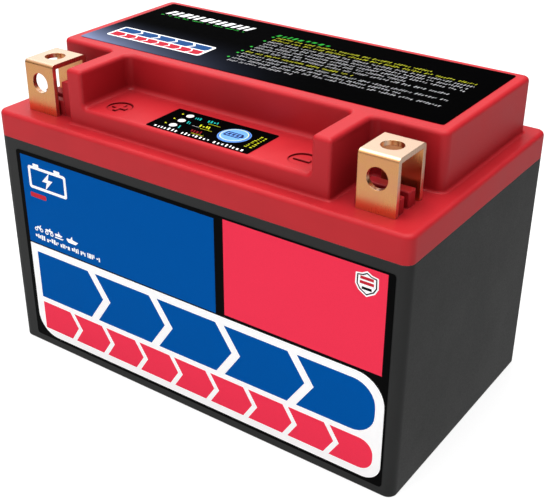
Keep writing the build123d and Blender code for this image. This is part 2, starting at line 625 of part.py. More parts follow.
SOCKET_X, SOCKET_Y = 0.0, 5.0
SOCKET_FLOOR = BOARD_TOP + 1.0
WIRE_XS = [SOCKET_X + (k - 2) * 2.5 for k in range(5)]
socket = bar(SOCKET_X, SOCKET_Y, 14.8, 5.8, BOARD_TOP, BOARD_TOP + 7.0)
socket = round_along(socket, Axis.Z, 0.3)
socket -= bar(SOCKET_X, SOCKET_Y, 13.2, 4.2, SOCKET_FLOOR, BOARD_TOP + 8)
save("balance_socket", socket)
plug = bar(SOCKET_X, SOCKET_Y, 13.0, 4.0, SOCKET_FLOOR, BOARD_TOP + 9.0)
plug = round_along(plug, Axis.Z, 0.3)
for x in WIRE_XS:
    plug -= rod(x, SOCKET_Y, BOARD_TOP + 6.0, BOARD_TOP + 10, r=0.75)
save("balance_plug", plug)

# ---------------------------------------------------------------- thin wires
# balance wires: X and Y of the far end, height of the level run
RUNS = [(-8.0, 22.4, 84.0), (-32.5, 0.0, 86.5), (-27.8, -24.3, 85.0),
        (31.5, 12.0, 86.5), (31.5, -12.0, 84.0)]
harness = []
for x, (end_x, end_y, height) in zip(WIRE_XS, RUNS):
    points = [(x, SOCKET_Y, BOARD_TOP + 6.2), (x, SOCKET_Y, height),
              (end_x, end_y, height), (end_x, end_y, LINK_Z1)]
    harness.append(cable(points, r=0.65, bend=2.4))
save("balance_wires", *harness)

IND_RUN_Z = 76.4          # level run below the indicator socket
IND_END_Y = -22.9
ind_wires = []
for offset_x in (-1.3, 1.3):
    x = IND_SOCKET_X + offset_x
    end_x = IND_SOCKET_X + offset_x * 4.2
    points = [(x, IND_SOCKET_Y, IND_UNDER - 1.2), (x, IND_SOCKET_Y, IND_RUN_Z),
              (end_x, IND_END_Y, IND_RUN_Z), (end_x, IND_END_Y, BOARD_TOP)]
    ind_wires.append(cable(points, r=0.6, bend=1.6))
save("indicator_wires", *ind_wires)
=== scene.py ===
"""Looks of a twelve-volt lithium motorcycle battery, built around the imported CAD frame.

X runs along the length, Y from the terminal side (front) to the back, Z up. The scene is in
metres; sizes in this file are in mm unless said otherwise. Colours are scene-linear.
"""

import json
import math
import random

import bmesh
import bpy
from mathutils import Matrix, Vector
from mathutils import noise as field


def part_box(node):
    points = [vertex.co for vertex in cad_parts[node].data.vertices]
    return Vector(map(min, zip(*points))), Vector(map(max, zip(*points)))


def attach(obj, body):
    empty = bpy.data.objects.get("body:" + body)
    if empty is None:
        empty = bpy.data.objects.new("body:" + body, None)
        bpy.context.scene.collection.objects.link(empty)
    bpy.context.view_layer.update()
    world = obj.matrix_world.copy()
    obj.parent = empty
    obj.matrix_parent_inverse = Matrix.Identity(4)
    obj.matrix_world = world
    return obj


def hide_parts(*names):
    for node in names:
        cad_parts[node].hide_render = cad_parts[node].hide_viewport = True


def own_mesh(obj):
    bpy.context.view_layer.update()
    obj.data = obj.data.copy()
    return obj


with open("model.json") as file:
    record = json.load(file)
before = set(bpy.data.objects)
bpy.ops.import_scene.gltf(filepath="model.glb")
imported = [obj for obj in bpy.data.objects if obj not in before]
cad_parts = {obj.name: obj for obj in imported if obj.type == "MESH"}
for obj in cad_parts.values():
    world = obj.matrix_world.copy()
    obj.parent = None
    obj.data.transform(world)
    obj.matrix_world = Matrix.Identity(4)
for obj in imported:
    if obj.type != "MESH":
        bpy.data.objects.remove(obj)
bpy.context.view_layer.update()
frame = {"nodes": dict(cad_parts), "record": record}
random.seed(11)
MM = 0.001


# ------------------------------------------------------------------ colour and node helpers
def display(*channels):
    """0-255 display colour to scene-linear."""
    shares = [c / 255 for c in channels]
    return tuple(c / 12.92 if c <= 0.04045 else ((c + 0.055) / 1.055) ** 2.4 for c in shares)


def tint(colour, factor, lift=0.0):
    return tuple(min(c * factor + lift, 1) for c in colour)


class Nodes:
    """A shader node tree, emptied, with short ways to add nodes to it."""

    def __init__(self, tree):
        self.tree = tree
        tree.nodes.clear()

    def node(self, kind, **settings):
        made = self.tree.nodes.new("ShaderNode" + kind)
        for key, value in settings.items():
            setattr(made, key, value)
        return made

    def put(self, socket, value):
        """Link a socket, or set its value; colours come without alpha."""
        if isinstance(value, bpy.types.NodeSocket):
            self.tree.links.new(value, socket)
        elif socket.type == "RGBA":
            socket.default_value = (*value, 1)
        else:
            socket.default_value = value

    def math(self, operation, a, b=0.0, clamp=False):
        node = self.node("Math", operation=operation, use_clamp=clamp)
        self.put(node.inputs[0], a)
        self.put(node.inputs[1], b)
        return node.outputs[0]

    def add(self, a, b):
        return self.math("ADD", a, b)

    def times(self, a, b):
        return self.math("MULTIPLY", a, b)

    def span(self, value, over, give=(0.0, 1.0), smooth=False):
        """Map the range over onto the range give, clamped."""
        node = self.node("MapRange", clamp=True)
        if smooth:
            node.interpolation_type = "SMOOTHSTEP"
        self.put(node.inputs["Value"], value)
        for key, limit in zip(("From Min", "From Max", "To Min", "To Max"), (*over, *give)):
            self.put(node.inputs[key], limit)
        return node.outputs["Result"]

    def vary(self, noise, low=0.0, high=1.0):
        """Spread the usual swing of a noise over low to high."""
        return self.span(noise, over=(0.3, 0.7), give=(low, high))

    def mix(self, factor, a, b, data_type="RGBA"):
        node = self.node("Mix", data_type=data_type)
        for key, value in (("Factor", factor), ("A", a), ("B", b)):
            self.put(node.inputs[key], value)
        return node.outputs["Result"]

    def dot(self, a, b):
        node = self.node("VectorMath", operation="DOT_PRODUCT")
        self.put(node.inputs[0], a)
        self.put(node.inputs[1], b)
        return node.outputs["Value"]

    def split(self, vector):
        node = self.node("SeparateXYZ")
        self.put(node.inputs[0], vector)
        return node.outputs


class Mat(Nodes):
    """One Principled material whose inputs are driven by a small node network."""

    def __init__(self, name):
        self.material = bpy.data.materials.new(name)
        self.material.use_nodes = True
        super().__init__(self.material.node_tree)
        output = self.node("OutputMaterial")
        self.principled = self.node("BsdfPrincipled")
        self.put(output.inputs["Surface"], self.principled.outputs[0])
        coords = self.node("TexCoord")
        self.place = coords.outputs["Object"]
        self.facing = coords.outputs["Normal"]

    def finish(self, **inputs):
        """Set the Principled inputs and give back the material."""
        for key, value in inputs.items():
            self.put(self.principled.inputs[key.replace("_", " ")], value)
        return self.material

    def noise(self, size, detail=2.0, rough=0.5):
        """Noise with features about size mm across, or size x, y, z mm for drawn-out ones."""
        if isinstance(size, tuple):
            mapping = self.node("Mapping")
            self.put(mapping.inputs["Vector"], self.place)
            mapping.inputs["Scale"].default_value = [1 / (s * MM) for s in size]
            vector, scale = mapping.outputs[0], 1.0
        else:
            vector, scale = self.place, 1 / (size * MM)
        node = self.node("TexNoise")
        self.put(node.inputs["Vector"], vector)
        node.inputs["Scale"].default_value = scale
        node.inputs["Detail"].default_value = detail
        node.inputs["Roughness"].default_value = rough
        return node.outputs["Fac"]

    def cells(self, size):
        node = self.node("TexVoronoi")
        self.put(node.inputs["Vector"], self.place)
        node.inputs["Scale"].default_value = 1 / (size * MM)
        return node.outputs["Distance"]

    def edges(self, radius):
        """(share of edge at this point, normal rounded over radius mm)."""
        bevel = self.node("Bevel", samples=4)
        bevel.inputs["Radius"].default_value = radius * MM
        geometry = self.node("NewGeometry")
        alike = self.dot(bevel.outputs[0], geometry.outputs["Normal"])
        return self.span(alike, over=(1.0, 0.8)), bevel.outputs[0]

    def open_share(self, reach):
        """1 on open surfaces, towards 0 in hollows and close to other pieces; reach in mm."""
        node = self.node("AmbientOcclusion", samples=6)
        node.inputs["Distance"].default_value = reach * MM
        return node.outputs["AO"]

    def bump(self, height, depth, normal=None):
        """depth is in mm."""
        node = self.node("Bump")
        node.inputs["Strength"].default_value = 1.0
        node.inputs["Distance"].default_value = depth * MM
        self.put(node.inputs["Height"], height)
        if normal is not None:
            self.put(node.inputs["Normal"], normal)
        return node.outputs[0]


# ------------------------------------------------------------------ kinds of material
def plastic(name, colour, rough, grain, depth, mottle, coat=0.0, shift=0.06, spec=0.5, edge=None,
            edge_colour=None, edge_share=0.0, bright=1.12, dark=0.9, hollow=0.0, side=0.0):
    """Moulded or printed plastic: fine grain in relief and gloss, a slow drift of tone.

    grain, depth, mottle and edge (radius of the edges lightened partly as rubbing and partly as
    a painted highlight) are in mm; shift is the swing of roughness; bright and dark bound the
    tone; hollow and side are shares of painted shade, in hollows and on faces turned to +X.
    """
    m = Mat(name)
    fine = m.noise(grain, detail=3.0, rough=0.6)
    slow = m.noise(mottle)
    c = m.mix(m.vary(slow), tint(colour, dark), tint(colour, bright, lift=0.0008))
    r = m.add(m.vary(fine, rough - shift, rough + shift), m.vary(slow, -0.03, 0.03))
    normal = None
    if edge:
        # edges are lightened towards the edge colour, partly as rubbing and partly as a painted
        # highlight
        share, normal = m.edges(edge)
        wear_and_highlight_spread = m.noise(2.2, detail=4.0, rough=0.7)
        share = m.times(share, m.span(wear_and_highlight_spread, over=(0.35, 0.6), give=(0.35, 1.0)))
        c = m.mix(m.times(share, edge_share), c, edge_colour)
        r = m.math("SUBTRACT", r, m.times(share, 0.08))
    if side:
        # painted shade: faces turned to +X are made darker
        turned = m.span(m.split(m.facing)[0], over=(0.55, 0.95), smooth=True)
        c = m.mix(m.times(turned, side), c, tint(colour, 0.6))
    if hollow:
        # painted shade: darker in hollows and close to other pieces, from ambient occlusion
        closed = m.math("SUBTRACT", 1.0, m.open_share(reach=20.0))
        c = m.mix(m.times(closed, hollow), c, tint(colour, 0.25))
    return m.finish(Base_Color=c, Roughness=r, Normal=m.bump(fine, depth, normal),
                    Specular_IOR_Level=spec, Coat_Weight=coat, Coat_Roughness=0.12)


def metal(name, colour, rough, brush, tarnish=None, tarnish_share=0.25):
    """Metal with brushing drawn out by brush (x, y, z in mm) and slow tarnish."""
    m = Mat(name)
    lines = m.noise(brush, detail=4.0, rough=0.6)
    slow = m.noise(6.0, detail=3.0, rough=0.6)
    spots = m.noise(0.9)
    stain = m.times(m.span(slow, over=(0.45, 0.75)), tarnish_share)
    c = m.mix(stain, colour, tarnish or tint(colour, 0.7))
    c = m.mix(m.vary(lines, 0.0, 0.16), c, tint(colour, 0.72))
    r = m.add(m.vary(lines, rough - 0.1, rough + 0.1), m.times(stain, 0.25))
    r = m.add(r, m.span(spots, over=(0.55, 0.75), give=(0.0, 0.06)))
    return m.finish(Base_Color=c, Roughness=r, Metallic=1.0, Normal=m.bump(lines, depth=0.004))


def rubber(name, colour, rough, bloom=0.35):
    """Moulded rubber or silicone with a dusty bloom."""
    m = Mat(name)
    fine = m.noise(0.22, detail=3.0, rough=0.6)
    slow = m.noise(3.5, detail=3.0, rough=0.6)
    dust = m.span(slow, over=(0.35, 0.75), give=(0.0, bloom))
    c = m.mix(dust, colour, tint(colour, 0.75, lift=0.07))
    r = m.add(m.vary(fine, rough - 0.06, rough + 0.06),
              m.span(slow, over=(0.35, 0.75), give=(0.0, 0.1)))
    return m.finish(Base_Color=c, Roughness=r, Normal=m.bump(fine, depth=0.01), Sheen_Weight=0.1)


def film(name, colour, rough, spec, glow=0.0):
    """Printed vinyl: orange-peel, faint print grain, slow drift in gloss; glow is a painted glow
    that brightens it.
    """
    m = Mat(name)
    peel, dots, slow = m.noise(1.6), m.noise(0.12, detail=1.0), m.noise(11.0)
    c = m.mix(m.span(dots, over=(0.35, 0.65)), tint(colour, 0.95), tint(colour, 1.04, lift=0.0003))
    drift = m.span(slow, over=(0.35, 0.7), give=(0.0, 0.05))
    c = m.mix(drift, c, tint(colour, 0.85, lift=0.004))
    r = m.add(m.vary(peel, rough - 0.03, rough + 0.03), m.vary(slow, -0.03, 0.03))
    return m.finish(Base_Color=c, Roughness=r, Normal=m.bump(peel, depth=0.0025),
                    Specular_IOR_Level=spec, Coat_Roughness=0.1,
                    Emission_Color=(1, 1, 1), Emission_Strength=glow)


# ------------------------------------------------------------------ single materials
def terminal_metal():
    """Tumbled copper strip: warm, with faint lines down the legs, rose in the rubbed spots."""
    m = Mat("terminal_copper")
    lines = m.noise((0.16, 0.16, 9), detail=4.0, rough=0.6)
    slow = m.noise(5.0, detail=3.0, rough=0.6)
    spots = m.noise(0.5, detail=3.0, rough=0.6)
    warm, rose, deep = (0.85, 0.42, 0.165), (0.86, 0.40, 0.19), (0.60, 0.25, 0.09)
    pale, wear_and_highlight_edge = (0.93, 0.66, 0.48), (0.96, 0.70, 0.42)
    c = m.mix(m.span(slow, over=(0.35, 0.7)), warm, rose)
    # painted reflection: the top and the faces turned along X are paler than the rest, standing in
    # for the brighter light they mirror
    facing = m.split(m.facing)
    flat = m.math("MAXIMUM", facing[2], m.math("ABSOLUTE", facing[0]))
    c = m.mix(m.span(flat, over=(0.55, 0.95), smooth=True), c, pale)
    c = m.mix(m.span(spots, over=(0.6, 0.8), give=(0.0, 0.10)), c, deep)
    # edges lightened towards pale copper, partly as wear and partly as a painted highlight
    share, normal = m.edges(0.3)
    c = m.mix(m.times(share, 0.4), c, wear_and_highlight_edge)
    r = m.add(m.vary(lines, 0.25, 0.31), m.span(slow, over=(0.4, 0.7), give=(0.0, 0.05)))
    height = m.add(m.times(lines, 0.5), m.times(m.noise(0.3), 0.3))
    return m.finish(Base_Color=c, Roughness=r, Metallic=1.0,
                    Normal=m.bump(height, depth=0.0018, normal=normal))


def top_film():
    """Black film with steel blue in the front-left corner, fading to the back and the right."""
    m = Mat("top_label_black")
    black, steel_blue = (0.0005, 0.0005, 0.0006), (0.187, 0.225, 0.371)
    x, y = m.split(m.place)[0], m.split(m.place)[1]
    # both fades are given in metres
    along = m.math("POWER", m.span(x, over=(-0.0662, 0.0288), give=(1.0, 0.0)), 3.2)
    deep = m.math("POWER", m.span(y, over=(-0.0126, 0.0135), give=(1.09, 0.0)), 2.5)
    blue = m.math("MULTIPLY", along, deep, clamp=True)
    blue = m.times(blue, m.vary(m.noise(8), 0.92, 1.0))
    peel = m.noise(1.6)
    return m.finish(Base_Color=m.mix(blue, black, steel_blue), Roughness=m.vary(peel, 0.40, 0.46),
                    Normal=m.bump(peel, depth=0.0025), Specular_IOR_Level=0.001)


def pouch():
    """Aluminium laminate pouch: soft dents, fine embossed grain, brushed sheen."""
    m = Mat("pouch_laminate")
    dents, grain, slow = m.noise((16, 6, 11)), m.noise(0.35), m.noise(22)
    c = m.mix(m.vary(slow), (0.50, 0.52, 0.54), (0.68, 0.70, 0.72))
    height = m.add(dents, m.times(grain, 0.06))
    return m.finish(Base_Color=c, Roughness=m.vary(grain, 0.30, 0.42), Metallic=0.9,
                    Normal=m.bump(height, depth=0.35))


def foam():
    """Cut foam: cells of two sizes in relief, with a second tone away from the cell centres."""
    m = Mat("foam_black")
    colour, cell = (0.040, 0.040, 0.043), 0.9
    big, small = m.cells(cell), m.cells(cell * 0.45)
    height = m.add(m.times(big, 0.7), m.times(small, 0.3))
    pit = m.span(height, over=(0.15, 0.55))
    c = m.mix(pit, tint(colour, 1.35), tint(colour, 0.45))
    c = m.mix(m.vary(m.noise(7.0), 0.0, 0.3), c, tint(colour, 0.7))
    return m.finish(Base_Color=c, Roughness=m.span(pit, over=(0, 1), give=(0.85, 0.95)),
                    Normal=m.bump(height, depth=-0.12), Sheen_Weight=0.2, Specular_IOR_Level=0.2)


def strap_weave():
    """Glass-filament packing tape: yarns banded along Z under a glossy film."""
    m = Mat("strap_filament")
    yarn = 0.9
    wave = m.node("TexWave", bands_direction="Z")
    m.put(wave.inputs["Vector"], m.place)
    wave.inputs["Scale"].default_value = 1 / (yarn * MM) / 6.283
    wave.inputs["Distortion"].default_value = 0.6
    weave = wave.outputs["Fac"]
    c = m.mix(weave, (0.70, 0.65, 0.48), (0.88, 0.86, 0.76))
    stain = m.span(m.noise(6, detail=3.0), over=(0.4, 0.7), give=(0.0, 0.3))
    c = m.mix(stain, c, (0.62, 0.56, 0.40))
    return m.finish(Base_Color=c, Roughness=m.span(weave, over=(0, 1), give=(0.45, 0.3)),
                    Normal=m.bump(weave, depth=0.06), Coat_Weight=0.25)


def aramid():
    """Grey insulation paper: crossed fibres."""
    m = Mat("insulation_paper")
    along = m.noise((5, 0.25, 0.25), detail=4.0, rough=0.7)
    across = m.noise((0.25, 5, 0.25), detail=4.0, rough=0.7)
    fibre = m.times(m.add(along, across), 0.5)
    c = m.mix(m.span(fibre, over=(0.35, 0.65)), (0.36, 0.38, 0.33), (0.56, 0.57, 0.50))
    return m.finish(Base_Color=c, Roughness=m.vary(fibre, 0.75, 0.9),
                    Normal=m.bump(fibre, depth=0.03))


def board():
    """Circuit board: green solder mask, paler over a grid of traces."""
    m = Mat("circuit_board")
    brick = m.node("TexBrick")
    m.put(brick.inputs["Vector"], m.place)
    for key, value in (("Scale", 1 / (7 * MM)), ("Mortar Size", 0.03), ("Brick Width", 0.5),
                       ("Row Height", 0.25), ("Mortar Smooth", 0.1)):
        brick.inputs[key].default_value = value
    trace = brick.outputs["Fac"]
    weave = m.noise(0.35)
    c = m.mix(trace, (0.010, 0.115, 0.045), (0.030, 0.215, 0.080))
    c = m.mix(m.vary(m.noise(9), 0.0, 0.25), c, (0.006, 0.07, 0.03))
    height = m.add(m.times(trace, 0.8), m.times(weave, 0.2))
    return m.finish(Base_Color=c, Roughness=m.vary(weave, 0.24, 0.34),
                    Normal=m.bump(height, depth=0.03), Coat_Weight=0.3)


# ------------------------------------------------------------------ material of every slot
MATS = {
    # lid: painted shade in hollows and on +X faces, edges lightened by wear and a painted
    # highlight
    "lid": plastic("lid_red_plastic", (0.54, 0.018, 0.026), rough=0.40, grain=0.30, depth=0.004,
                   mottle=14, shift=0.045, edge=0.5, edge_colour=(0.80, 0.09, 0.10),
                   edge_share=0.22, spec=0.19, bright=1.05, dark=0.96, hollow=0.80, side=0.30),
    "case": plastic("case_charcoal_plastic", (0.0150, 0.0156, 0.0153), rough=0.46, grain=0.40,
                    depth=0.010, mottle=16, edge=0.5, edge_colour=(0.075, 0.078, 0.078),
                    edge_share=0.35, spec=0.3),
    "terminal": terminal_metal(),
    "label_front": film("front_label_black", (0.0010, 0.0010, 0.0011), rough=0.42, spec=0.03),
    "label_indicator": film("indicator_label_black", (0.0008, 0.0008, 0.0010), rough=0.42,
                            spec=0.001),
    "label_top": top_film(),
    "button": plastic("button_blue", (0.135, 0.40, 0.90), rough=0.34, grain=0.25, depth=0.003,
                      mottle=3.0, edge=0.12, edge_colour=(0.45, 0.62, 0.98), edge_share=0.6,
                      bright=1.06, dark=0.95),
    "light_window": plastic("light_window_white", (0.90, 0.90, 0.90), rough=0.25, grain=0.2,
                            depth=0.002, mottle=2.0, bright=1.03, dark=0.97, coat=0.3),
    "pouch": pouch(),
    "foam": foam(),
    "strap": strap_weave(),
    "copper": metal("copper_bar", (0.86, 0.45, 0.28), rough=0.30, brush=(12, 0.14, 0.14),
                    tarnish=(0.42, 0.17, 0.10), tarnish_share=0.45),
    "paper_sheet": aramid(),
    "board": board(),
    "tinned": metal("tinned_brass", (0.76, 0.76, 0.74), rough=0.3, brush=(1.2, 0.2, 0.2),
                    tarnish_share=0.2),
    "steel": metal("steel_zinc", (0.60, 0.61, 0.62), rough=0.32, brush=(0.3, 0.3, 1.5),
                   tarnish=(0.52, 0.50, 0.36), tarnish_share=0.4),
    "thin_wire": rubber("thin_wire_grey", (0.52, 0.52, 0.50), rough=0.45, bloom=0.2),
}

# slot: name, colour, roughness, grain, relief depth, mottle (mm), clear coat
PLASTICS = {
    "adhesive": ("adhesive_amber", (0.62, 0.52, 0.33), 0.22, 1.1, 0.05, 5.0, 0.4),
    "plate": ("tab_plate_ivory", (0.74, 0.70, 0.56), 0.5, 0.3, 0.008, 12, 0.0),
    "chip": ("chip_epoxy", (0.018, 0.018, 0.020), 0.5, 0.12, 0.006, 2.0, 0.0),
    "connector": ("connector_nylon", (0.78, 0.75, 0.66), 0.42, 0.2, 0.006, 4.0, 0.0),
    "switch": ("switch_black", (0.022, 0.022, 0.024), 0.4, 0.15, 0.004, 2.0, 0.0),
    "switch_stem": ("switch_stem_grey", (0.075, 0.075, 0.080), 0.45, 0.15, 0.004, 2.0, 0.0),
    "tab_film": ("tab_sealing_film", (0.40, 0.44, 0.50), 0.35, 0.5, 0.01, 3.0, 0.2),
    "led": ("led_resin", (0.85, 0.82, 0.62), 0.12, 0.2, 0.002, 1.5, 0.5),
}
# slot: name, colour, roughness, brushing x, y, z (mm)
METALS = {
    "tab_aluminium": ("tab_aluminium", (0.80, 0.81, 0.82), 0.34, (0.12, 0.12, 7)),
    "tab_nickel": ("tab_nickel", (0.68, 0.64, 0.56), 0.26, (0.12, 0.12, 7)),
    "brass_post": ("brass_post", (0.80, 0.60, 0.26), 0.25, (0.1, 0.1, 2.0)),
}
# slot: name, colour, roughness
RUBBERS = {
    "silicone_red": ("cable_silicone_red", (0.52, 0.016, 0.018), 0.5),
    "silicone_black": ("cable_silicone_black", (0.016, 0.016, 0.018), 0.5),
    "rubber": ("rubber_black", (0.022, 0.022, 0.023), 0.72),
}
for make, table in ((plastic, PLASTICS), (metal, METALS), (rubber, RUBBERS)):
    for key, row in table.items():
        MATS[key] = make(*row)

for part in frame["record"]["subparts"]:
    for material_slot in frame["nodes"][part["node"]].material_slots:
        material_slot.material = MATS[part["material_slot"]]


# ------------------------------------------------------------------ soft parts of the inside
PITCH = 12.0        # from cell to cell along Y
SEAL = 4.0          # height of a pouch's welded top seam
TAB_X = 34.0        # tab centres, either side of the middle
TAB_FILM = (10.6, 0.59)       # half width and half thickness of a tab's sealing film
PAD_HALF = 1.0      # half thickness of a pad between cells
END_PAD_INNER = 56.3          # inner face of the end pads, from the middle
TAPE_STARTS = (-18.0, 6.0)    # left edges of the two tapes
TAPE_COLUMNS = (0, 4, 8, 12)  # vertex columns across a tape
TAPE_THICK = 0.28
DOME_SHEET = 0.07   # thickness of the snap dome
DOME_SEGMENTS = 48


def soft_box(bm, low, high, radius, dent, spread, size, seed, crown=0.0, fall=10, wave=0.0):
    """Closed form with rolled edges; without wave it stays within low..high.

    Faces drop by crown towards their edges, more suddenly with a higher fall, and carry shallow
    dents spread apart; size is the mesh step and wave a ripple along X.
    """
    low, high = Vector(low), Vector(high)
    centre, half = (low + high) / 2, (high - low) / 2
    radius = min(radius, min(half) * 0.97)
    stations = []
    for k in range(3):
        flat = half[k] - radius
        steps = max(1, int(round(2 * flat / size)))
        band = [flat + radius * math.tan(math.radians(a)) for a in (15, 30, 45)]
        even = [-flat + 2 * flat * i / steps for i in range(steps + 1)]
        stations.append([-b for b in reversed(band)] + even + band)
    made = {}

    def vert(p):
        key = tuple(round(x * 1e4) for x in p)
        if key not in made:
            core = Vector([max(radius - half[k], min(half[k] - radius, p[k])) for k in range(3)])
            out = (p - core).normalized()
            main = max(range(3), key=lambda k: abs(out[k]))
            keep = 1.0
            for k in range(3):
                if k != main:
                    keep *= 1 - min(abs(p[k]) / half[k], 1) ** fall
            spot = Vector((p.x / spread + seed * 3.1, p.y / spread + seed, p.z / spread - seed))
            depth = 0.5 + 0.5 * field.noise(spot)
            place = centre + core + out * (radius - crown * (1 - keep) - dent * depth)
            if wave:
                place.y += wave * math.sin(p.x / 3.7 + seed) * math.sin(p.x / 9.1)
            made[key] = bm.verts.new(place * MM)
        return made[key]

    for k in range(3):
        a, b = (k + 1) % 3, (k + 2) % 3
        for side in (-1, 1):
            for i in range(len(stations[a]) - 1):
                for j in range(len(stations[b]) - 1):
                    quad = []
                    for u, v in ((i, j), (i + 1, j), (i + 1, j + 1), (i, j + 1)):
                        p = Vector((0, 0, 0))
                        p[k], p[a], p[b] = side * half[k], stations[a][u], stations[b][v]
                        quad.append(vert(p))
                    bm.faces.new(quad if side > 0 else quad[::-1])


def soft_piece(name, bm, material, replaced=None):
    """Smooth object from bm, standing in for a CAD node or else added to a slot."""
    mesh = bpy.data.meshes.new(name)
    for face in bm.faces:
        face.smooth = True
    bm.to_mesh(mesh)
    bm.free()
    piece = bpy.data.objects.new(name, mesh)
    bpy.context.collection.objects.link(piece)
    mesh.materials.append(MATS[material])
    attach(piece, "battery")
    if replaced:
        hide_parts(replaced)
    return piece


def box_mm(node):
    low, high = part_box(node)
    return low * 1000, high * 1000


def cell_pouch(i):
    """Filled body, welded top seam, and side seams folded up against the body."""
    lo, hi = box_mm(f"cell_{i}")
    y, top = (lo.y + hi.y) / 2, hi.z - SEAL
    bm = bmesh.new()
    soft_box(bm, (lo.x + 0.7, lo.y, lo.z), (hi.x - 0.7, hi.y, top), radius=2.3,
             crown=1.1, fall=9, dent=0.35, spread=16, size=4, seed=i)
    soft_box(bm, (lo.x + 3, y - 0.42, top - 1.2), (hi.x - 3, y + 0.42, hi.z), radius=0.2,
             dent=0.04, spread=3, size=1.6, seed=i, wave=0.14)
    for side in (-1, 1):
        x = lo.x if side < 0 else hi.x
        left, right = sorted((x, x - side * 0.55))
        soft_box(bm, (left, y - 3.3, lo.z + 2.2), (right, y + 3.3, top - 2.0), radius=0.22,
                 dent=0.12, spread=5, size=2.4, seed=i + side)
    soft_piece(f"cell_{i}_pouch", bm, "pouch", replaced=f"cell_{i}")


def tab_films():
    """A sealing film round every tab, at the cells' top seams."""
    bm = bmesh.new()
    wide, thick = TAB_FILM
    for i in range(1, 5):
        lo, hi = box_mm(f"cell_{i}")
        y = (lo.y + hi.y) / 2
        for side in (-1, 1):
            x = side * TAB_X
            soft_box(bm, (x - wide, y - thick, hi.z - 2.9), (x + wide, y + thick, hi.z - 0.1),
                     radius=0.25, dent=0.04, spread=3, size=1.8, seed=i)
    soft_piece("cell_tab_films", bm, "tab_film")


def spacer_pads():
    bm = bmesh.new()
    lo, hi = box_mm("cell_spacer_pads")
    for k, y in enumerate((-PITCH, 0.0, PITCH)):
        soft_box(bm, (lo.x, y - PAD_HALF, lo.z), (hi.x, y + PAD_HALF, hi.z), radius=0.7,
                 crown=0.12, dent=0.12, spread=9, size=4, seed=k + 5)
    soft_piece("cell_spacer_foam", bm, "foam", replaced="cell_spacer_pads")


def cushion(name, node, radius, crown, dent):
    """One foam cushion filling the box of a CAD node."""
    lo, hi = box_mm(node)
    bm = bmesh.new()
    soft_box(bm, lo, hi, radius, crown=crown, dent=dent, spread=12, size=3.5, seed=len(name))
    soft_piece(name, bm, "foam", replaced=node)


def end_pads():
    bm = bmesh.new()
    lo, hi = box_mm("end_foam_pads")
    for side in (-1, 1):
        left, right = sorted((side * END_PAD_INNER, hi.x if side > 0 else lo.x))
        soft_box(bm, (left, lo.y, lo.z), (right, hi.y, hi.z), radius=2.8,
                 crown=0.7, dent=0.5, spread=12, size=4, seed=side + 20)
    soft_piece("end_foam_cushions", bm, "foam", replaced="end_foam_pads")


def tape_path(lo, hi):
    """(y, z) outline of a tape round the cells: flat below, tight up the sides, and dipping
    between the seams on top."""
    bottom_half = 22.6
    outer_seam = 1.5 * PITCH
    shoulder = hi.y - 0.1
    shoulder_drop, dip = 3.6, 0.85
    path = [(-bottom_half + 2 * bottom_half * i / 16, lo.z) for i in range(17)]
    side = []
    for angle in (30, 60, 90):
        a = math.radians(angle)
        side.append((hi.y - 0.25 * (1 - math.sin(a)), lo.z + 0.75 * (1 - math.cos(a))))
    for z in (9, 14, 20, 26, 32, 38, 44, 50, 55):
        side.append((hi.y - 0.04 * (0.5 + 0.5 * math.sin(z * 0.7)), z))
    for i in range(8):
        t = i / 8
        y = shoulder - (shoulder - outer_seam) * t
        side.append((y, hi.z - shoulder_drop * (1 - t * t * (3 - 2 * t))))
    top = []
    for i in range(49):
        y = outer_seam - 3 * PITCH * i / 48
        top.append((y, hi.z - dip * math.sin(math.pi * (abs(y) - PITCH / 2) / PITCH) ** 2))
    return path + side + top + [(-y, z) for y, z in reversed(side)]


def pack_tape():
    bm = bmesh.new()
    line = tape_path(*box_mm("pack_strap"))
    count = len(line)
    for start in TAPE_STARTS:
        columns = [start + step for step in TAPE_COLUMNS]
        loops = []
        for i, (y, z) in enumerate(line):
            (y_before, z_before), (y_after, z_after) = line[i - 1], line[(i + 1) % count]
            along = Vector((y_after - y_before, z_after - z_before)).normalized()
            inward = Vector((-along.y, along.x)) * TAPE_THICK
            ring = [(x, y, z) for x in columns]
            ring += [(x, y + inward.x, z + inward.y) for x in reversed(columns)]
            loops.append([bm.verts.new(Vector(p) * MM) for p in ring])
        for i in range(count):
            a, b = loops[i], loops[(i + 1) % count]
            for k in range(8):
                j = (k + 1) % 8
                bm.faces.new((a[k], a[j], b[j], b[k]))
    bmesh.ops.recalc_face_normals(bm, faces=bm.faces)
    soft_piece("pack_tape", bm, "strap", replaced="pack_strap")


def snap_dome():
    """Steel cap under the plunger, with a small dimple."""
    lo, hi = box_mm("switch_dome")
    centre, rise = (lo + hi) / 2, hi.z - lo.z
    reach = (hi.x - lo.x) / 2
    upper = []
    for k in range(15):
        t = k / 14
        bulge = (rise - DOME_SHEET) * (1 - t ** 2.2) - 0.05 * math.exp(-((t / 0.16) ** 2))
        upper.append((t * reach, lo.z + DOME_SHEET + bulge))
    lower = [(r, max(z - DOME_SHEET, lo.z)) for r, z in reversed(upper)]
    bm = bmesh.new()
    loops = []
    for r, z in upper + [(reach, lo.z)] + lower[1:]:
        if r < 1e-6:
            loops.append([bm.verts.new(Vector((centre.x, centre.y, z)) * MM)] * DOME_SEGMENTS)
            continue
        loop = []
        for j in range(DOME_SEGMENTS):
            a = math.tau * j / DOME_SEGMENTS
            place = Vector((centre.x + r * math.cos(a), centre.y + r * math.sin(a), z))
            loop.append(bm.verts.new(place * MM))
        loops.append(loop)
    for a, b in zip(loops, loops[1:]):
        for j in range(DOME_SEGMENTS):
            k = (j + 1) % DOME_SEGMENTS
            # a pole repeats one vertex, so its quads fall to triangles
            bm.faces.new(list(dict.fromkeys((a[j], a[k], b[k], b[j]))))
    bmesh.ops.recalc_face_normals(bm, faces=bm.faces)
    dome = soft_piece("switch_snap_spring", bm, "steel", replaced="switch_dome")
    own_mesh(dome)


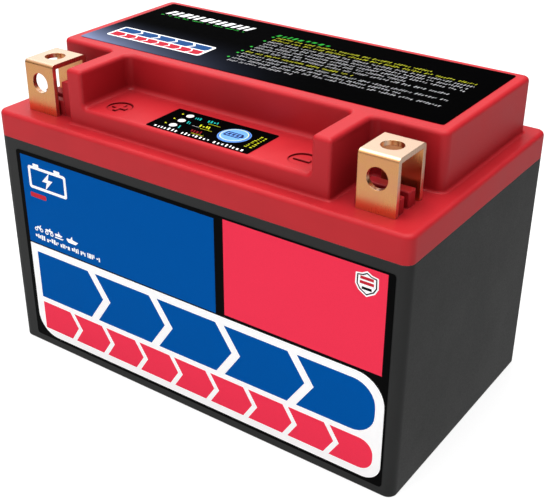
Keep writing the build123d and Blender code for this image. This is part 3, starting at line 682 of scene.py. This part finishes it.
for number in range(1, 5):
    cell_pouch(number)
tab_films()
spacer_pads()
cushion("bottom_foam_pad", "bottom_pad", radius=0.8, crown=0.3, dent=0.15)
cushion("front_foam_cushion", "front_foam_block", radius=2.0, crown=0.8, dent=0.5)
cushion("rear_foam_cushion", "rear_foam_block", radius=2.0, crown=0.8, dent=0.5)
end_pads()
pack_tape()
snap_dome()

# ------------------------------------------------------------------ printing on the labels
# ink: colour, roughness, specular level, painted glow where there is any
INK_TABLE = {
    # white ink carries a faint painted glow
    "white": ((0.98, 0.98, 0.98), 0.38, 0.2, 0.13),
    "blue": (display(0, 86, 168), 0.40, 0.006),
    "red": (display(254, 54, 84), 0.40, 0.04),
    "black": ((0.0010, 0.0010, 0.0012), 0.42, 0.03),
    "green": (display(15, 165, 40), 0.4, 0.05),
    "yellow": (display(205, 208, 35), 0.4, 0.05),
    "cyan": (display(25, 180, 175), 0.4, 0.05),
    "grey": (display(205, 205, 210), 0.4, 0.2),
    "badge_blue": ((0.006, 0.062, 0.215), 0.40, 0.02),
    "badge_red": ((0.50, 0.016, 0.036), 0.40, 0.02),
    "dark_red": (display(205, 30, 50), 0.4, 0.1),
    "dim_red": (display(120, 8, 18), 0.4, 0.03),
    "navy": (display(12, 22, 78), 0.38, 0.05),
    "light_blue": (display(92, 145, 225), 0.38, 0.1),
    # painted shadow, for the steps of the polarity signs
    "painted_shadow": (display(88, 6, 10), 0.45, 0.03),
    "cream": (display(222, 232, 160), 0.38, 0.1),
}
INK = {key: film("ink_" + key, *row) for key, row in INK_TABLE.items()}

# heights of ink over the label's face
INK_BASE = -0.03
INK_TOP = 0.02
SECOND_TOP = 0.035
THIRD_TOP = 0.036


def rounded(x0, x1, y0, y1, radius=0.0, steps=6, radii=None):
    """Rounded rectangle; radii are for the corners (x0,y0), (x1,y0), (x1,y1), (x0,y1)."""
    corners = ((x0, y0, 1, 1, 180), (x1, y0, -1, 1, 270), (x1, y1, -1, -1, 0), (x0, y1, 1, -1, 90))
    out = []
    for (x, y, to_x, to_y, start), r in zip(corners, radii or (radius,) * 4):
        if r <= 0.001:
            out.append((x, y))
            continue
        for i in range(steps + 1):
            a = math.radians(start + 90 * i / steps)
            out.append((x + to_x * r + r * math.cos(a), y + to_y * r + r * math.sin(a)))
    return out


def disc(x, y, r, n=48):
    angles = [2 * math.pi * i / n for i in range(n)]
    return [(x + r * math.cos(a), y + r * math.sin(a)) for a in angles]


def slanted(x0, x1, y0, y1, lean=0.0):
    """Parallelogram whose top is shifted by lean times its height."""
    shift = (y1 - y0) * lean
    return [(x0, y0), (x1, y0), (x1 + shift, y1), (x0 + shift, y1)]


class Print:
    """Flat inked shapes, each a thin closed prism, in mm on the label's own plane.

    place turns (u, v, height) into a point of the scene.
    """

    def __init__(self, name, place, body, slot):
        self.name, self.place, self.body, self.slot = name, place, body, slot
        self.bm = bmesh.new()
        self.inks = []

    def ink(self, colour):
        if colour not in self.inks:
            self.inks.append(colour)
        return self.inks.index(colour)

    def row(self, points, height):
        return [self.bm.verts.new(self.place(u, v, height)) for u, v in points]

    def faces(self, colour, rings):
        index = self.ink(colour)
        for ring in rings:
            self.bm.faces.new(ring).material_index = index

    def shape(self, points, colour, top=INK_TOP):
        pairs = zip(points, points[1:] + points[:1])
        if sum(a[0] * b[1] - b[0] * a[1] for a, b in pairs) < 0:
            points = points[::-1]
        low, high = self.row(points, INK_BASE), self.row(points, top)
        rings = [high, low[::-1]]
        for i in range(len(points)):
            j = (i + 1) % len(points)
            rings.append((low[i], low[j], high[j], high[i]))
        self.faces(colour, rings)

    def strip(self, outer, inner, colour, top=INK_TOP, closed=True):
        """Strip between two lines of as many points, a ring or else closed at both ends."""
        outer_low, outer_high = self.row(outer, INK_BASE), self.row(outer, top)
        inner_low, inner_high = self.row(inner, INK_BASE), self.row(inner, top)
        sides = ((outer_high, inner_high), (inner_low, outer_low),
                 (outer_low, outer_high), (inner_high, inner_low))
        count = len(outer)
        rings = []
        for i in range(count if closed else count - 1):
            j = (i + 1) % count
            rings += [(a[i], a[j], b[j], b[i]) for a, b in sides]
        if not closed:
            for i in (0, count - 1):
                rings.append((outer_low[i], outer_high[i], inner_high[i], inner_low[i]))
        self.faces(colour, rings)

    def arrows(self, x0, x1, y0, y1, colour, count, gap, tip, end_radius):
        """Arrow blocks fitting into each other, straight at the left, rounded at the right."""
        step = (x1 - x0) / count
        middle = (y0 + y1) / 2
        for i in range(count):
            a = x0 + i * step
            b = a + step - gap
            points = [(a, y1), (a + tip, middle), (a, y0)] if i else [(a, y1), (a, y0)]
            if i == count - 1:
                radii = (0, end_radius, end_radius, 0)
                points += rounded(a, x1, y0, y1, steps=8, radii=radii)[1:-1]
            else:
                points += [(b, y0), (b + tip, middle), (b, y1)]
            self.shape(points, colour, SECOND_TOP)

    def ticks(self, x0, x1, y, height, colour, lean, tick, gap, space, word=(2, 7),
              top=INK_TOP, weight=0.5):
        """A row of unreadable ticks in word-like groups, in place of small print.

        word bounds the ticks in a group, tick is their pitch without the gap, space parts the
        groups and weight thickens the ticks.
        """
        x = x0
        while x < x1 - tick:
            for _ in range(random.randint(*word)):
                width = tick * random.uniform(0.6, 1.2)
                if x + width > x1:
                    break
                low = y + height * random.choice((0.0, 0.0, 0.0, 0.35, 0.15))
                high = y + height * random.choice((1.0, 1.0, 0.75, 0.85, 0.65))
                if high - low < height * 0.3:
                    low, high = y, y + height
                self.shape(slanted(x, x + width * weight + width * 0.3, low, high, lean),
                           colour, top)
                x += width + gap
            x += space

    def done(self):
        bmesh.ops.recalc_face_normals(self.bm, faces=self.bm.faces)
        mesh = bpy.data.meshes.new(self.name)
        self.bm.to_mesh(mesh)
        self.bm.free()
        for colour in self.inks:
            mesh.materials.append(INK[colour])
        piece = bpy.data.objects.new(self.name, mesh)
        bpy.context.scene.collection.objects.link(piece)
        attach(piece, self.body)


def level(z):
    """Place prints on a level face at height z."""
    return lambda u, v, h: Vector((u * MM, v * MM, (z + h) * MM))


# ------------------------------------------------------------------ front label
FRONT_FACE = -(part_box("front_label")[0].y) / MM   # how far the label stands forward
# x0, x1, z0, z1
BLUE_FIELD = (-66.2, 12.5, 40.6, 72.3)
RED_FIELD = (15.8, 69.2, 41.2, 73.0)
WHITE_PLATE = (-66.2, 70.7, 4.2, 40.1)
BLUE_ARROWS = (-63.3, 67.9, 19.6, 37.3)
RED_ARROWS = (-63.2, 68.0, 6.9, 17.6)
BATTERY_SIGN = (-63.2, -46.4, 61.2, 69.2)
RED_DASH = (-63.2, -56.2, 58.0, 59.6)
# points of a bolt about its centre, in shares of its half height
BOLT = ((0.35, 1), (-0.75, -0.15), (-0.1, -0.15), (-0.35, -1), (0.75, 0.2), (0.1, 0.2))
# four vehicle pictograms: wheels (x, z, radius), then outlines (x, z)
VEHICLES = (
    (((-62.5, 46.1, 0.72), (-60.1, 46.1, 0.72)), (
        [(-62.6, 46.3), (-61.9, 47.3), (-60.9, 47.2), (-60.5, 47.9), (-60.2, 47.8),
         (-60.5, 46.9), (-60.3, 46.3), (-61.0, 46.2), (-61.4, 46.7)],)),
    (((-57.7, 46.0, 0.78), (-55.4, 46.0, 0.78)), (
        [(-58.4, 46.9), (-57.9, 47.4), (-56.6, 47.3), (-56.1, 48.0), (-55.8, 47.9),
         (-55.9, 47.3), (-54.9, 47.2), (-54.8, 46.8), (-56.5, 46.6)],)),
    ((), (
        [(-54.1, 45.3), (-50.6, 45.3), (-50.0, 45.9), (-50.5, 45.75), (-53.9, 45.75)],
        [(-53.8, 46.1), (-51.2, 46.1), (-50.4, 46.7), (-51.6, 47.0), (-52.0, 47.9),
         (-52.3, 47.9), (-52.2, 47.1), (-53.8, 46.9)])),
    ((), (
        [(-48.6, 46.3), (-47.9, 45.4), (-44.6, 45.4), (-43.4, 46.5), (-44.9, 46.7),
         (-46.0, 46.9), (-48.5, 46.8)],
        [(-46.9, 46.9), (-46.2, 47.9), (-45.9, 47.9), (-45.9, 46.9)])),
)
# shield outline (x, z), the centre it is scaled about, its layers and its bars
SHIELD = ((63.0, 71.7), (64.4, 70.9), (66.2, 70.6), (66.3, 67.6), (65.4, 66.0),
          (63.1, 64.6), (60.8, 66.0), (59.8, 67.6), (59.9, 70.6), (61.6, 70.9))
SHIELD_CENTRE = (63.05, 68.2)
SHIELD_LAYERS = ((1.10, "white", 0.035), (0.96, "black", 0.045), (0.84, "white", 0.055))
SHIELD_BARS = (((61.0, 65.1, 69.3, 70.2), "dark_red"), ((60.9, 65.2, 67.9, 68.8), "dark_red"),
               ((61.6, 64.6, 66.3, 67.1), "black"))
SHIELD_BAR_TOP = 0.065


def battery_sign(p, x0, x1, y0, y1, line=1.0):
    """Outlined battery with two posts and a bolt."""
    p.strip(rounded(x0, x1, y0, y1, 0.9),
            rounded(x0 + line, x1 - line, y0 + line, y1 - line, 0.45), "white", SECOND_TOP)
    for share in (0.22, 0.78):
        c = x0 + (x1 - x0) * share
        p.shape(rounded(c - 1.3, c + 1.3, y1 - 0.05, y1 + 1.0, 0.2, steps=2), "white", SECOND_TOP)
    cx, cy, size = (x0 + x1) / 2, (y0 + y1) / 2, (y1 - y0) * 0.40
    p.shape([(cx + u * size, cy + v * size) for u, v in BOLT], "white", SECOND_TOP)


def print_front():
    p = Print("front_label_print",
              lambda u, v, h: Vector((u * MM, -(FRONT_FACE + h) * MM, v * MM)),
              "battery", "label_front")
    p.shape(slanted(*BLUE_FIELD), "blue")
    p.shape(slanted(*RED_FIELD), "red")
    p.shape(rounded(*WHITE_PLATE, steps=10, radii=(8.0, 6.0, 9.5, 0.3)), "white")
    p.arrows(*BLUE_ARROWS, "blue", count=5, gap=3.2, tip=6.0, end_radius=7.5)
    p.arrows(*RED_ARROWS, "red", count=9, gap=1.9, tip=3.4, end_radius=4.6)
    battery_sign(p, *BATTERY_SIGN)
    p.shape(rounded(*RED_DASH, 0.3, steps=2), "dark_red", SECOND_TOP)
    for wheels, outlines in VEHICLES:
        for x, y, r in wheels:
            p.strip(disc(x, y, r, 20), disc(x, y, r * 0.5, 20), "white", SECOND_TOP)
        for outline in outlines:
            p.shape(outline, "white", THIRD_TOP)
    p.ticks(-63.2, -33.6, 42.5, 1.75, "white", lean=0.0, tick=0.75, gap=0.22, space=0.7,
            top=SECOND_TOP, weight=0.7)
    cx, cy = SHIELD_CENTRE
    for scale, colour, height in SHIELD_LAYERS:
        grown = [(cx + (x - cx) * scale, cy + (y - cy) * scale) for x, y in SHIELD]
        p.shape(grown, colour, height)
    for bar, colour in SHIELD_BARS:
        p.shape(slanted(*bar), colour, SHIELD_BAR_TOP)
    p.done()


# ------------------------------------------------------------------ top label
# x0, x1, y0, y1
BADGE = (-60.8, -21.9, -6.2, 3.7)
BADGE_BLUE = (-59.9, -22.8, -1.1, 3.0)
BADGE_RED = (-59.9, -22.8, -5.5, -1.8)
TITLE_X, TITLE_Y = -60.4, (23.7, 28.0)
# width of each slanted bar of the title and the gap after it
TITLE_BARS = (
    (1.5, 1.3), (1.4, 1.5), (2.6, 1.3), (1.3, 1.3), (1.5, 1.6), (2.4, 1.3),
    (1.4, 1.4), (1.5, 1.3), (2.2, 1.5), (1.4, 1.3), (1.5, 1.3), (1.4, 1.4),
)
# rows of ticks from the back forward: ink, right end, bullet in front
TEXT_ROWS = (
    ("yellow", 46, True), ("yellow", 60, False), ("grey", 61, True), ("grey", 59.5, False),
    ("grey", 60.5, False), ("grey", 42, True), ("grey", 57, False), ("yellow", 27, True),
    ("grey", 60, True), ("grey", 46, False), ("grey", 61, True), ("grey", 12, False),
)
FIRST_ROW_Y, ROW_STEP = 22.6, 2.42
BULLET_X, TEXT_X = -13.9, -12.4


def print_top():
    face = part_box("top_label")[1].z / MM
    p = Print("top_label_print", level(face), "battery", "label_top")
    x = TITLE_X
    for width, gap in TITLE_BARS:
        p.shape(slanted(x, x + width, *TITLE_Y, lean=0.28), "white")
        x += width + gap
    p.ticks(-61.0, -25.0, 21.9, 0.75, "green", lean=0.25, tick=0.7, gap=0.2, space=1.4)

    # badge: white plate, blue arrows behind red arrows
    p.shape(rounded(*BADGE, 1.0), "white")
    p.arrows(*BADGE_BLUE, "badge_blue", count=5, gap=0.9, tip=1.6, end_radius=1.2)
    p.arrows(*BADGE_RED, "badge_red", count=8, gap=0.6, tip=1.1, end_radius=1.0)

    # right half: heading and rows of ticks
    p.ticks(BULLET_X, 7.6, 24.7, 2.1, "green", lean=0.3, word=(9, 9), tick=1.75, gap=0.75,
            space=1.5, weight=0.35)
    y = FIRST_ROW_Y
    for colour, end, bullet in TEXT_ROWS:
        if bullet:
            p.shape(disc(BULLET_X, y + 0.6, 0.5, 14), "green")
        p.ticks(TEXT_X, end, y, 1.35, colour, lean=0.3, word=(3, 9), tick=0.58, gap=0.42,
                space=0.85, weight=0.22)
        y -= ROW_STEP
    p.done()


# ------------------------------------------------------------------ indicator label and button
# lights: x, y, width of the first group of ticks, ink of the second
LIGHTS = ((-10.45, -24.7, 3.1, "cyan"), (-10.35, -28.8, 1.9, "yellow"),
          (-10.25, -32.9, 0.7, "dim_red"))
# small mark left of a light, about the light
MARK = ((-3.2, 0.35), (-2.9, -0.45), (-2.1, -0.1), (-2.7, 0.0), (-2.9, 0.45))
BUTTON_X, BUTTON_Y = 9.3, -29.1


def print_indicator():
    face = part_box("indicator_label")[1].z / MM
    p = Print("indicator_label_print", level(face), "battery", "label_indicator")
    for i, (x, y, first, colour) in enumerate(LIGHTS):
        p.shape([(x + u, y + v) for u, v in MARK], "yellow")
        p.ticks(x + 2.6, x + 2.6 + first, y - 1.0, 1.75, "cyan", lean=-0.35, word=(3, 4),
                tick=0.62, gap=0.34, space=0.5, weight=0.45)
        p.ticks(x + 7.2, x + 11.2, y - 1.2, 2.0, colour, lean=-0.35, word=(4, 4),
                tick=0.78, gap=0.36, space=0.5)
        p.shape(slanted(x + 8.2, x + 12.6, y - 1.75, y - 1.6), "yellow")
        if i == 1:
            p.shape(slanted(x + 5.0, x + 7.6, y - 1.35, y - 1.22), "grey")
    p.ticks(-14.5, 18.7, -36.8, 1.55, "white", lean=-0.2, word=(7, 9), tick=0.98, gap=0.46,
            space=1.1, weight=0.28)

    # two rows of ticks running along Y at the right
    side = Print("indicator_side_print",
                 lambda u, v, h: Vector((v * MM, u * MM, (face + h) * MM)),
                 "battery", "label_indicator")
    for end, x, count, tick, gap in ((-24.4, 15.9, 9, 0.75, 0.4), (-24.0, 17.7, 7, 0.8, 0.42)):
        side.ticks(-33.6, end, x, 1.0, "yellow", lean=0.1, word=(count, count), tick=tick,
                   gap=gap, space=0.6, weight=0.28)
    side.done()
    p.strip(disc(BUTTON_X, BUTTON_Y, 5.0, 64), disc(BUTTON_X, BUTTON_Y, 4.62, 64), "light_blue")
    p.done()


def print_button():
    """Ring and the pictogram of a charged battery."""
    x, y = BUTTON_X, BUTTON_Y
    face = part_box("test_button")[1].z / MM
    p = Print("button_print", level(face), "button", "button")
    p.strip(disc(x, y, 4.27, 64), disc(x, y, 3.98, 64), "cream")
    p.strip(rounded(x - 3.2, x + 2.6, y - 1.45, y + 1.45, 0.45),
            rounded(x - 2.7, x + 2.1, y - 0.95, y + 0.95, 0.2), "navy")
    p.shape(rounded(x + 2.55, x + 3.2, y - 0.65, y + 0.65, 0.15, steps=2), "navy")
    for k in range(3):
        p.shape(slanted(x - 2.3 + k * 1.45, x - 1.3 + k * 1.45, y - 0.6, y + 0.6, 0.12), "navy")
    p.done()


# ------------------------------------------------------------------ polarity signs
SIGN_Z = 91.1
SIGN_RADIUS = 4.12
BAR_HALF, BAR_THICK = 2.6, 0.6    # half length and half width of a sign's bars
# sign centre, then the front edges of its bars: x0, x1, y
SIGNS = (
    (-33.0, -30.8, ((-BAR_HALF, -BAR_THICK, -BAR_THICK), (BAR_THICK, BAR_HALF, -BAR_THICK),
                    (-BAR_THICK, BAR_THICK, -BAR_HALF))),
    (33.8, -30.8, ((-BAR_HALF, BAR_HALF, -BAR_THICK),)),
)


def paint_sign_shadows():
    """Painted shadow: dark ink in the steps of the two polarity signs, where shade falls."""
    p = Print("polarity_sign_painted_shadow", level(SIGN_Z), "battery", "lid")
    for x, y, bars in SIGNS:
        outer, inner = [], []
        for i in range(33):
            a = math.radians(-12 + 204 * i / 32)
            swell = max(math.sin(math.radians(180 * (i + 0.6) / 33.2)), 0.05)
            inside = SIGN_RADIUS - 0.42 * swell ** 0.7
            outer.append((x + SIGN_RADIUS * math.cos(a), y + SIGN_RADIUS * math.sin(a)))
            inner.append((x + inside * math.cos(a), y + inside * math.sin(a)))
        p.strip(outer, inner, "painted_shadow", top=0.37, closed=False)
        for x0, x1, edge in bars:
            p.shape(rounded(x + x0, x + x1, y + edge - 0.34, y + edge + 0.02, 0.1, steps=2),
                    "painted_shadow", top=0.30)
    p.done()


print_front()
print_top()
print_indicator()
print_button()
paint_sign_shadows()


# ------------------------------------------------------------------ floor, light, camera
def floor():
    mesh = bpy.data.meshes.new("floor")
    bm = bmesh.new()
    bmesh.ops.create_grid(bm, x_segments=8, y_segments=8, size=3.0)
    bm.to_mesh(mesh)
    bm.free()
    piece = bpy.data.objects.new("floor", mesh)
    bpy.context.scene.collection.objects.link(piece)
    # pale to the camera; duller where it is mirrored in the battery, least so in front
    m = Mat("floor_paper")
    path = m.node("LightPath")
    seen, mirrored = path.outputs["Is Camera Ray"], path.outputs["Is Glossy Ray"]
    fibre = m.noise(3.0, detail=3.0)
    tone = m.math("SUBTRACT", m.span(seen, over=(0, 1), give=(0.66, 0.38)),
                  m.times(mirrored, 0.64))
    tone = m.times(tone, m.vary(fibre, 0.98, 1.0))
    grey = m.node("CombineColor")
    for k in range(3):
        m.put(grey.inputs[k], tone)
    # in metres along Y
    ahead = m.span(m.split(m.place)[1], over=(0.0, -0.12), give=(0.42, 0.74), smooth=True)
    glow = m.add(m.times(seen, 0.67), m.times(mirrored, ahead))
    mesh.materials.append(m.finish(
        Base_Color=grey.outputs[0], Roughness=0.95, Specular_IOR_Level=0.0,
        Emission_Color=(1, 1, 1), Emission_Strength=glow))


def softbox(w, direction, azimuth, elevation, inner, outer, strength):
    """A soft bright patch of sky.

    Azimuth 0 is +Y and grows towards +X; inner and outer are half angles in degrees.
    """
    a, e = math.radians(azimuth), math.radians(elevation)
    aim = (math.sin(a) * math.cos(e), math.cos(a) * math.cos(e), math.sin(e))
    limits = [math.cos(math.radians(angle)) for angle in (outer, inner)]
    return w.span(w.dot(direction, aim), over=limits, give=(0.0, strength), smooth=True)


def studio():
    """Sky brightest overhead, with two softboxes; plain white to the camera."""
    world = bpy.data.worlds.new("studio")
    bpy.context.scene.world = world
    world.use_nodes = True
    w = Nodes(world.node_tree)
    direction = w.node("TexCoord").outputs["Generated"]
    up = w.math("MAXIMUM", w.split(direction)[2], 0.0)
    total = w.add(w.times(w.math("POWER", up, 6.0), 5.2), 0.02)
    total = w.add(total, softbox(w, direction, azimuth=-45, elevation=34, inner=8, outer=34,
                                 strength=1.3))
    total = w.add(total, softbox(w, direction, azimuth=-158, elevation=45, inner=10, outer=45,
                                 strength=1.0))
    path = w.node("LightPath")
    strength = w.mix(path.outputs["Is Camera Ray"], total, 1.0, data_type="FLOAT")
    background = w.node("Background")
    w.put(background.inputs["Color"], (1, 1, 1))
    w.put(background.inputs["Strength"], strength)
    w.put(w.node("OutputWorld").inputs["Surface"], background.outputs[0])


CAMERA_PLACE = (0.1746, -0.2466, 0.2054)   # metres
CAMERA_TURN = (-34.91, 28.93, 0.33)        # yaw from +Y towards +X, pitch down, roll; degrees


def camera():
    scene = bpy.context.scene
    yaw, pitch, roll = (math.radians(a) for a in CAMERA_TURN)
    ahead = Vector((math.sin(yaw) * math.cos(pitch), math.cos(yaw) * math.cos(pitch),
                    -math.sin(pitch)))
    level_right = Vector((math.cos(yaw), -math.sin(yaw), 0))
    level_up = level_right.cross(ahead)
    right = math.cos(roll) * level_right + math.sin(roll) * level_up
    turn = Matrix((right, right.cross(ahead), -ahead)).transposed()
    cam = bpy.data.objects.new("camera", bpy.data.cameras.new("camera"))
    scene.collection.objects.link(cam)
    cam.matrix_world = Matrix.Translation(CAMERA_PLACE) @ turn.to_4x4()
    cam.data.sensor_width = 36
    cam.data.lens = 67.96
    cam.data.clip_start, cam.data.clip_end = 0.01, 20
    scene.camera = cam


floor()
studio()
camera()
view = bpy.context.scene.view_settings
view.view_transform = "Standard"
view.look = "None"
bpy.context.scene.cycles.use_denoising = True

bpy.context.view_layer.update()
